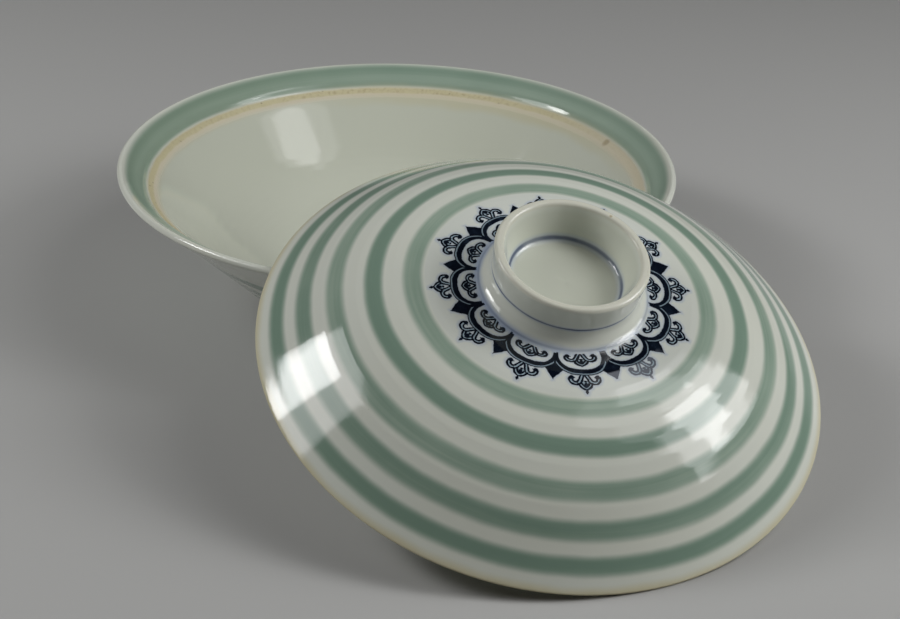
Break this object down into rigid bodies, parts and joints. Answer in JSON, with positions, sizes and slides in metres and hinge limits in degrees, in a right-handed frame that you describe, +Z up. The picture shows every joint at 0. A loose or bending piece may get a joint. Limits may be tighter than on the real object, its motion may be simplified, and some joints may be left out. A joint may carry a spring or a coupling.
{
  "type": "lidded bowl",
  "caption": "Wide shallow porcelain bowl on a foot ring, with a sunk seat inside its rim, and a domed lid with a hollow grip ring that leans on the bowl and lifts off.",
  "frame": {"origin": "centre of the bowl's foot ring, on the table", "axes": "+Z up along the bowl's axis; the lid leans on the bowl's rim on the side of -Y, turned 24 degrees towards +X"},
  "size_m": [0.1902, 0.2364, 0.0647],
  "materials": {
    "bowl_glaze": "gloss",
    "lid_glaze": "gloss"
  },
  "bodies": {
    "bowl": {"bowl": "bowl_glaze"},
    "lid": {"lid": "lid_glaze"}
  },
  "joints": [
    {"name": "lid_lift", "type": "slide", "parent": "bowl", "child": "lid", "axis": [0, 0, 1], "range_m": [0, 0.08]}
  ]
}
